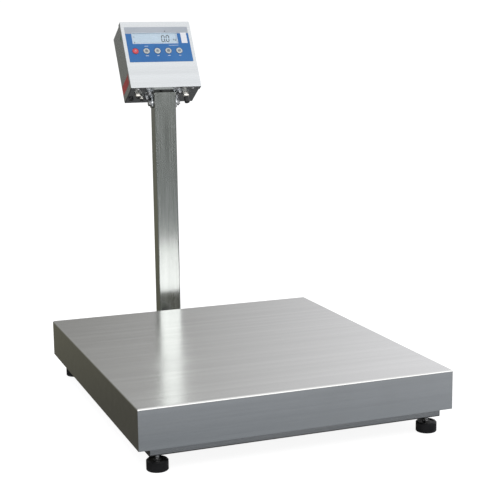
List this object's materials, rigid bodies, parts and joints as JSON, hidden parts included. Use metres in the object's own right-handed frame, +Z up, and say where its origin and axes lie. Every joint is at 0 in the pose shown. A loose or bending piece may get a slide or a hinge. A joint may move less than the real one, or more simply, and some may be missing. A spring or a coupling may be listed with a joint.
{
  "type": "platform scale",
  "caption": "Floor platform scale with a folded stainless pan, tube base on levelling feet, rear column and tilting indicator head.",
  "frame": {"origin": "on the floor, under the centre of the overall box", "axes": "+X to the operator's right along the pan's front edge, front faces -Y, +Z up"},
  "size_m": [0.7, 1.0751, 0.8911],
  "materials": {
    "stainless_sheet": "brushed",
    "stainless_tube": "satin",
    "fasteners": "polished",
    "load_cell_aluminium": "anodised",
    "black_plastic": "matte",
    "black_rubber": "matte",
    "cable_jacket": "satin",
    "overlay_blue": "satin",
    "window_clear": "gloss",
    "lcd_pale": "gloss",
    "key_grey": "satin",
    "key_red": "satin",
    "circuit_green": "gloss",
    "nickel": "nickel plated",
    "vial_clear": "gloss"
  },
  "bodies": {
    "base": {"base_front_rail": "stainless_tube", "base_rear_rail": "stainless_tube", "base_left_rail": "stainless_tube", "base_right_rail": "stainless_tube", "base_centre_beams": "stainless_tube", "foot_bushes": "fasteners", "foot_locknuts": "fasteners", "tube_end_plugs": "black_plastic", "column_bracket": "stainless_tube", "column_flange": "stainless_tube", "column_flange_bolts": "fasteners", "column_tube": "stainless_tube", "column_cap": "stainless_tube", "column_grommet": "black_rubber", "pivot_bolt": "fasteners", "friction_washers": "black_plastic", "load_cell_plate": "stainless_tube", "load_cell_lower_spacer": "stainless_tube", "load_cell": "load_cell_aluminium", "load_cell_fixed_bolts": "fasteners", "overload_stops": "fasteners", "spirit_level_housing": "load_cell_aluminium", "spirit_level_vial": "vial_clear", "load_cell_cable": "cable_jacket", "cable_link": "cable_jacket"},
    "receiver": {"load_cell_upper_spacer": "stainless_tube", "load_cell_live_bolts": "fasteners", "receiver_plate": "stainless_tube", "receiver_side_tubes": "stainless_tube", "receiver_cross_tubes": "stainless_tube", "pan_pads": "black_rubber"},
    "pan": {"weighing_pan": "stainless_sheet", "pan_stiffeners": "stainless_sheet"},
    "head": {"front_cover": "stainless_sheet", "rear_housing": "stainless_sheet", "housing_gasket": "black_rubber", "cover_screws": "fasteners", "keypad_overlay": "overlay_blue", "display_window": "window_clear", "lcd_module": "lcd_pale", "keypad_board": "circuit_green", "main_board": "circuit_green", "board_standoffs": "fasteners", "cable_glands": "nickel", "gland_seals": "black_rubber", "tilt_bracket": "stainless_sheet", "tilt_bracket_bolts": "fasteners"},
    "key_power": {"key_power": "key_red"},
    "key_zero": {"key_zero": "key_grey"},
    "key_tare": {"key_tare": "key_grey"},
    "key_print": {"key_print": "key_grey"},
    "key_enter": {"key_enter": "key_grey"},
    "foot_front_left_pad": {"foot_front_left_pad": "black_rubber"},
    "foot_front_left_stud": {"foot_front_left_stud": "fasteners"},
    "foot_front_right_pad": {"foot_front_right_pad": "black_rubber"},
    "foot_front_right_stud": {"foot_front_right_stud": "fasteners"},
    "foot_rear_left_pad": {"foot_rear_left_pad": "black_rubber"},
    "foot_rear_left_stud": {"foot_rear_left_stud": "fasteners"},
    "foot_rear_right_pad": {"foot_rear_right_pad": "black_rubber"},
    "foot_rear_right_stud": {"foot_rear_right_stud": "fasteners"}
  },
  "joints": [
    {"name": "load_deflection", "type": "slide", "parent": "base", "child": "receiver", "axis": [0, 0, -1], "range_m": [0, 0.0006], "stiffness_N_per_m": 2450000, "springref_m": -0.00009, "deforming": ["load_cell"]},
    {"name": "pan_lift_off", "type": "slide", "parent": "receiver", "child": "pan", "axis": [0, 0, 1], "range_m": [0, 0.12]},
    {"name": "head_tilt", "type": "hinge", "parent": "base", "child": "head", "pos_m": [0, 0.39668, 0.676], "axis": [1, 0, 0], "range_deg": [-25, 10], "deforming": ["cable_link"]},
    {"name": "press_power", "type": "slide", "parent": "head", "child": "key_power", "axis": [0, 0.866, -0.5], "range_m": [0, 0.0005], "stiffness_N_per_m": 2500, "springref_m": -0.0004},
    {"name": "press_zero", "type": "slide", "parent": "head", "child": "key_zero", "axis": [0, 0.866, -0.5], "range_m": [0, 0.0005], "stiffness_N_per_m": 2500, "springref_m": -0.0004},
    {"name": "press_tare", "type": "slide", "parent": "head", "child": "key_tare", "axis": [0, 0.866, -0.5], "range_m": [0, 0.0005], "stiffness_N_per_m": 2500, "springref_m": -0.0004},
    {"name": "press_print", "type": "slide", "parent": "head", "child": "key_print", "axis": [0, 0.866, -0.5], "range_m": [0, 0.0005], "stiffness_N_per_m": 2500, "springref_m": -0.0004},
    {"name": "press_enter", "type": "slide", "parent": "head", "child": "key_enter", "axis": [0, 0.866, -0.5], "range_m": [0, 0.0005], "stiffness_N_per_m": 2500, "springref_m": -0.0004},
    {"name": "foot_front_left_height", "type": "slide", "parent": "base", "child": "foot_front_left_pad", "axis": [0, 0, 1], "range_m": [-0.01, 0.00625]},
    {"name": "foot_front_left_turn", "type": "hinge", "parent": "foot_front_left_pad", "child": "foot_front_left_stud", "pos_m": [-0.3035, -0.50632, 0], "axis": [0, 0, 1], "range_deg": [-2881, 1801]},
    {"name": "foot_front_right_height", "type": "slide", "parent": "base", "child": "foot_front_right_pad", "axis": [0, 0, 1], "range_m": [-0.01, 0.00625]},
    {"name": "foot_front_right_turn", "type": "hinge", "parent": "foot_front_right_pad", "child": "foot_front_right_stud", "pos_m": [0.3035, -0.50632, 0], "axis": [0, 0, 1], "range_deg": [-2881, 1801]},
    {"name": "foot_rear_left_height", "type": "slide", "parent": "base", "child": "foot_rear_left_pad", "axis": [0, 0, 1], "range_m": [-0.01, 0.00625]},
    {"name": "foot_rear_left_turn", "type": "hinge", "parent": "foot_rear_left_pad", "child": "foot_rear_left_stud", "pos_m": [-0.3035, 0.22968, 0], "axis": [0, 0, 1], "range_deg": [-2881, 1801]},
    {"name": "foot_rear_right_height", "type": "slide", "parent": "base", "child": "foot_rear_right_pad", "axis": [0, 0, 1], "range_m": [-0.01, 0.00625]},
    {"name": "foot_rear_right_turn", "type": "hinge", "parent": "foot_rear_right_pad", "child": "foot_rear_right_stud", "pos_m": [0.3035, 0.22968, 0], "axis": [0, 0, 1], "range_deg": [-2881, 1801]}
  ],
  "couplings": [
    {"joint": "foot_front_left_turn", "follows": "foot_front_left_height", "rad_per_m": 5026.5},
    {"joint": "foot_front_right_turn", "follows": "foot_front_right_height", "rad_per_m": 5026.5},
    {"joint": "foot_rear_left_turn", "follows": "foot_rear_left_height", "rad_per_m": 5026.5},
    {"joint": "foot_rear_right_turn", "follows": "foot_rear_right_height", "rad_per_m": 5026.5}
  ]
}
